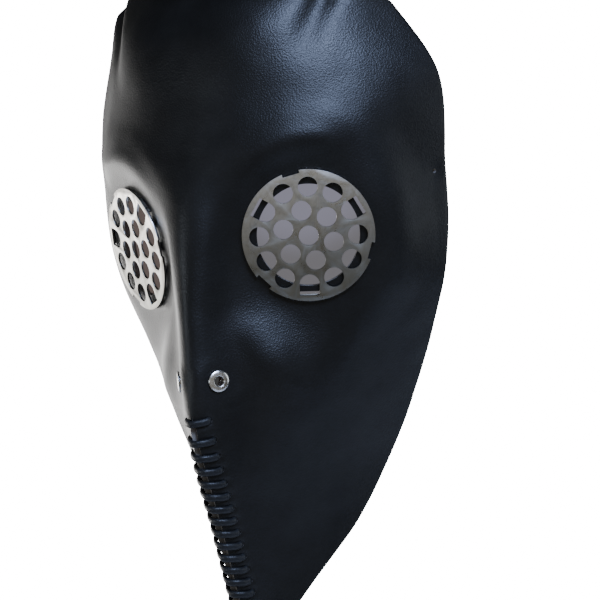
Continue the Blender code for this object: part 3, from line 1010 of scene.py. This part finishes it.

# %% [markdown]
# ## Eye discs
# Each disc is a stamped stainless strainer plate that has been polished, handled and never quite
# cleaned. The finish mixes three tones of steel: bright, filmed, and a dark one for stains and
# painted shade. Painted shade darkens the plate towards its bottom and the film thickens there too,
# so the top looks lit.

# %% Disc finish


def stainless(name, bright, film_and_shade_colour, stain_and_shade_colour):
    """Satin stainless: rub marks, a warm film of old polish, stains, and painted shade that darkens
    the plate towards its bottom.
    """
    finish = Finish(name, Metallic=1.0)
    where = finish.position()
    stretched = finish.node("Mapping", Vector=where, Scale=(90, 90, 1400))
    rubbed = finish.clouds(stretched, 1.0, detail=5.0, rough=0.6)
    film = finish.remap(finish.clouds(where, 62.0, detail=5.0, rough=0.6, distortion=1.6), 0.38, 0.64)
    spots = finish.remap(finish.clouds(where, 300.0, detail=4.0, distortion=0.8), 0.45, 0.72)
    height = finish.node("SeparateXYZ", output="Z", Vector=where)
    # painted shade: the plate is darkened towards its bottom, and the film is made thicker there, so
    # its top looks lit
    low = finish.remap(height + film * 0.012, 0.016, -0.022)
    film_and_low_shade = film * finish.remap(height, 0.014, -0.006, 0.2, 1.0)
    film_and_shade_tone = finish.blend(film_and_low_shade, (*bright, 1), (*film_and_shade_colour, 1))
    steel_with_painted_shade = finish.blend(low, film_and_shade_tone, (*stain_and_shade_colour, 1))
    finish.feed("Base Color", finish.blend(spots * 0.35, steel_with_painted_shade, (*stain_and_shade_colour, 1)))
    finish.feed("Roughness", 0.22 + 0.16 * film + 0.08 * rubbed)
    finish.feed("Normal", finish.bump(rubbed + spots * 0.4, 0.00002, 0.35))
    return finish.material


# the second tone is the film plus painted shade halfway down; the third is the stains plus painted
# shade at the bottom
STEEL = stainless("satin_stainless", (1.0, 0.97, 0.92), (0.48, 0.45, 0.38), (0.26, 0.255, 0.23))
print("steel:", len(STEEL.node_tree.nodes), "nodes")

# %% [markdown]
# The plate starts as a cylinder. Nineteen holes, three tab slots and three rim notches are cut
# from it, and a narrow bevel stands for the burr that the press rolls over, which is what catches
# the light around every hole.

# %% Disc blank
DISC_RADIUS = 25.4
HOLE_RADIUS, INNER_RING, OUTER_RING = 3.8, 9.9, 18.8
NOTCH_WIDTH, NOTCH_DEPTH, NOTCH_ROUND = 6.6, 1.4, 1.0


def stamped_disc():
    """The plate lying flat at the origin, in metres, with its first tab slot at 60 degrees."""
    deselect_all()
    bpy.ops.mesh.primitive_cylinder_add(vertices=160, radius=DISC_RADIUS * MM,
                                        depth=GRILLE_THICKNESS * MM)
    disc = bpy.context.object
    tools = []
    for count, ring, first in ((1, 0.0, 0), (6, INNER_RING, -15), (12, OUTER_RING, 0)):
        for k in range(count):
            place = turned(FLAT, first + 360 / count * k) @ Matrix.Translation((0, ring, 0))
            tools.append(cutting_cylinder(place, HOLE_RADIUS, -2, 2, 40))
    cut(disc, tools)
    slots = []
    for k in range(3):
        slot = turned(FLAT, 60 + 120 * k)
        slots.append(cutting_box(slot, (-TAB_WIDTH / 2, OUTER_RING, -2), (TAB_WIDTH / 2, TAB_BEND, 2)))
        notch = turned(FLAT, -15 + 120 * k)
        low = (-NOTCH_WIDTH / 2, DISC_RADIUS - NOTCH_DEPTH, -2)
        slots.append(cutting_box(notch, low, (NOTCH_WIDTH / 2, DISC_RADIUS + 3, 2), NOTCH_ROUND))
    cut(disc, slots)
    burr = disc.modifiers.new("Burr", "BEVEL")
    burr.width = 0.14 * MM
    burr.segments = 2
    burr.limit_method = "ANGLE"
    burr.angle_limit = math.radians(50)
    apply_modifiers(disc)
    return disc


disc = stamped_disc()
print("plate:", len(disc.data.polygons), "faces")

# %% [markdown]
# Each tab is a strip of the plate, bent back through its slit and clenched flat on the flesh side.
# A short strip is spun through a quarter turn, extruded down, spun back and extruded outwards, so
# its bends are real ones, and Solidify gives it the thickness of the plate.

# %% Bent tab
BEND_INSIDE = 0.5            # radius inside the bend
TAB_GAP = 0.5                # between the leather and the clenched end
TAB_CLENCH = 1.9


def bent_tab():
    """One tab: a strip that turns back through 90 degrees and is clenched flat behind."""
    middle = BEND_INSIDE + TAB_THICKNESS / 2
    behind = -(GRILLE_THICKNESS / 2 + GRILLE_STANDOFF + LEATHER + TAB_GAP + TAB_THICKNESS / 2)
    start = TAB_BEND - TAB_THICKNESS / 2 + middle
    deselect_all()
    bpy.ops.mesh.primitive_plane_add(size=1)
    strip = bpy.context.object
    strip.scale = (TAB_WIDTH * MM, 0.4 * MM, 1)
    strip.location = (0, (start + 0.2) * MM, 0)
    bpy.ops.object.transform_apply(location=True, rotation=True, scale=True)
    bpy.ops.object.mode_set(mode="EDIT")
    select_where(strip, "edges", lambda m, e: m.y < (start + 0.1) * MM
                 and abs(e.verts[0].co.y - e.verts[1].co.y) < 1e-6)
    bpy.ops.mesh.spin(steps=5, angle=math.radians(90), axis=(1, 0, 0),
                      center=(0, start * MM, -middle * MM))
    drop = behind + 2 * middle
    bpy.ops.mesh.extrude_region_move(TRANSFORM_OT_translate={"value": (0, 0, drop * MM)})
    bpy.ops.mesh.spin(steps=5, angle=math.radians(-90), axis=(1, 0, 0),
                      center=(0, start * MM, (drop - middle) * MM))
    bpy.ops.mesh.extrude_region_move(TRANSFORM_OT_translate={"value": (0, TAB_CLENCH * MM, 0)})
    bpy.ops.object.mode_set(mode="OBJECT")
    wall = strip.modifiers.new("Sheet", "SOLIDIFY")
    wall.thickness = TAB_THICKNESS * MM
    wall.offset = 0.0
    soften = strip.modifiers.new("Soften", "BEVEL")
    soften.width = 0.10 * MM
    soften.segments = 2
    soften.limit_method = "ANGLE"
    soften.angle_limit = math.radians(60)
    apply_modifiers(strip)
    return strip


tab = bent_tab()
print("tab measures", [round(v / MM, 1) for v in tab.dimensions], "mm")

# %% [markdown]
# Both discs come from the one blank. A copy of the plate and three of the tab are joined, turned as
# the maker happened to set them, and moved to their seats. The placement goes into the mesh, so the
# finished object stays at the origin.

# %% Set both discs in their seats


def copy_of(item, name):
    twin = item.copy()
    twin.data = item.data.copy()
    twin.name = name
    bpy.context.scene.collection.objects.link(twin)
    return twin


def place_mesh(item, place):
    """Bake a placement in mm into the mesh, so the object stays at the origin."""
    item.data.transform(in_metres(place))
    item.data.update()


def set_disc(side, name):
    plate = copy_of(disc, name)
    pieces = [plate]
    for k in range(3):
        strip = copy_of(tab, name + "_tab")
        place_mesh(strip, turned(FLAT, 60 + 120 * k))
        pieces.append(strip)
    grille = join(pieces, name)
    place_mesh(grille, turned(grille_frame(side), GRILLE_TURN[side]))
    grille.data.materials.clear()
    grille.data.materials.append(STEEL)
    for face in grille.data.polygons:
        face.material_index = 0
    smooth(grille, 35)
    return grille


for side, hand in ((1, "left"), (-1, "right")):
    grille = set_disc(side, "strainer_disc_" + hand)
    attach(grille, "root")
    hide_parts("eye_grille_" + hand)
    print(grille.name, len(grille.data.polygons), "faces")
bpy.data.objects.remove(disc, do_unlink=True)
bpy.data.objects.remove(tab, do_unlink=True)

# %% [markdown]
# ## Nostril eyelets
# The plating is bright nickel with fine marks. Small clouds of noise vary its tone and its shine,
# and the bump is only a hundredth of a millimetre deep.

# %% Eyelet finish


def nickel(name):
    finish = Finish(name, Metallic=1.0)
    where = finish.position()
    marks = finish.clouds(where, 900.0, detail=4.0, distortion=0.6)
    dull = finish.clouds(where, 260.0, detail=3.0)
    finish.feed("Base Color", finish.blend(finish.remap(dull, 0.4, 0.7), (0.88, 0.86, 0.82, 1),
                                           (0.66, 0.64, 0.60, 1)))
    finish.feed("Roughness", 0.16 + 0.22 * finish.remap(marks, 0.35, 0.7))
    finish.feed("Normal", finish.bump(marks, 0.00001, 0.3))
    return finish.material


NICKEL = nickel("nickel_plate")
print("nickel:", len(NICKEL.node_tree.nodes), "nodes")

# %% [markdown]
# A two-part eyelet is a turned shape, so the quickest way is to draw half its outline and spin it.
# Spinning a full turn leaves a seam of doubled vertices, so they are merged.

# %% Turned rings


def turned_ring(name, outline):
    """Spin a closed outline of (radius, height) points in mm about Z."""
    deselect_all()
    bpy.ops.mesh.primitive_circle_add(vertices=len(outline), radius=1, fill_type="NOTHING")
    ring = bpy.context.object
    for vert, (radius, height) in zip(ring.data.vertices, outline):
        vert.co = Vector((radius, 0, height)) * MM
    bpy.ops.object.mode_set(mode="EDIT")
    bpy.ops.mesh.select_all(action="SELECT")
    bpy.ops.mesh.spin(steps=64, angle=2 * math.pi, axis=(0, 0, 1), center=(0, 0, 0))
    bpy.ops.object.mode_set(mode="OBJECT")
    weld(ring)
    smooth(ring, 40)
    ring.name = name
    ring.data.materials.append(NICKEL)
    return ring


def arc(centre, radius, start, end, count):
    """Points on an arc in an outline, from one angle to another in degrees."""
    steps = [math.radians(start + (end - start) * k / (count - 1)) for k in range(count)]
    return [(centre[0] + radius * math.cos(a), centre[1] + radius * math.sin(a)) for a in steps]


print("ready to turn the rings")

# %% [markdown]
# The flange is a low dome, the barrel goes through the hide, and its end is curled over a washer
# on the flesh side. All heights are measured from the grain side of the leather.

# %% Set the eyelets
FLANGE, BARREL, BORE = 4.15, 2.35, 1.9
FIT, WASHER = 0.5, 0.5
BACK = -(LEATHER + 2 * FIT + WASHER)
EYELET_OUTLINE = (
    [(BORE, BACK + 0.1), (BORE, 0.75)] + arc((BORE + 0.45, 0.95), 0.45, 180, 70, 5)
    + [(3.2, 1.34)] + arc((FLANGE - 0.45, 0.75), 0.45, 60, -40, 6)
    + [(FLANGE - 0.25, FIT), (BARREL, FIT), (BARREL, BACK)]
    + arc((BARREL + 0.4, BACK - 0.25), 0.4, 90, -90, 5) + [(BARREL, BACK - 0.62), (BORE, BACK - 0.4)])
UNDER = -(LEATHER + FIT)      # where the washer's upper face lies
WASHER_OUTLINE = [(BARREL + 0.35, UNDER), (FLANGE - 0.1, UNDER), (FLANGE, UNDER - 0.1),
                  (FLANGE, UNDER - 0.25), (FLANGE - 0.1, UNDER - 0.35), (BARREL + 0.35, UNDER - 0.35)]
for side, hand in ((1, "left"), (-1, "right")):
    seat = surface_frame(skin, EYELET_Z, EYELET_ACROSS, side)
    for name, node, outline in (("nostril_ring_", "nostril_eyelet_", EYELET_OUTLINE),
                                ("backing_washer_", "eyelet_washer_", WASHER_OUTLINE)):
        ring = turned_ring(name + hand, outline)
        place_mesh(ring, seat)
        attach(ring, "root")
        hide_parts(node + hand)
print("eyelets set", round(2 * FLANGE, 1), "mm across")
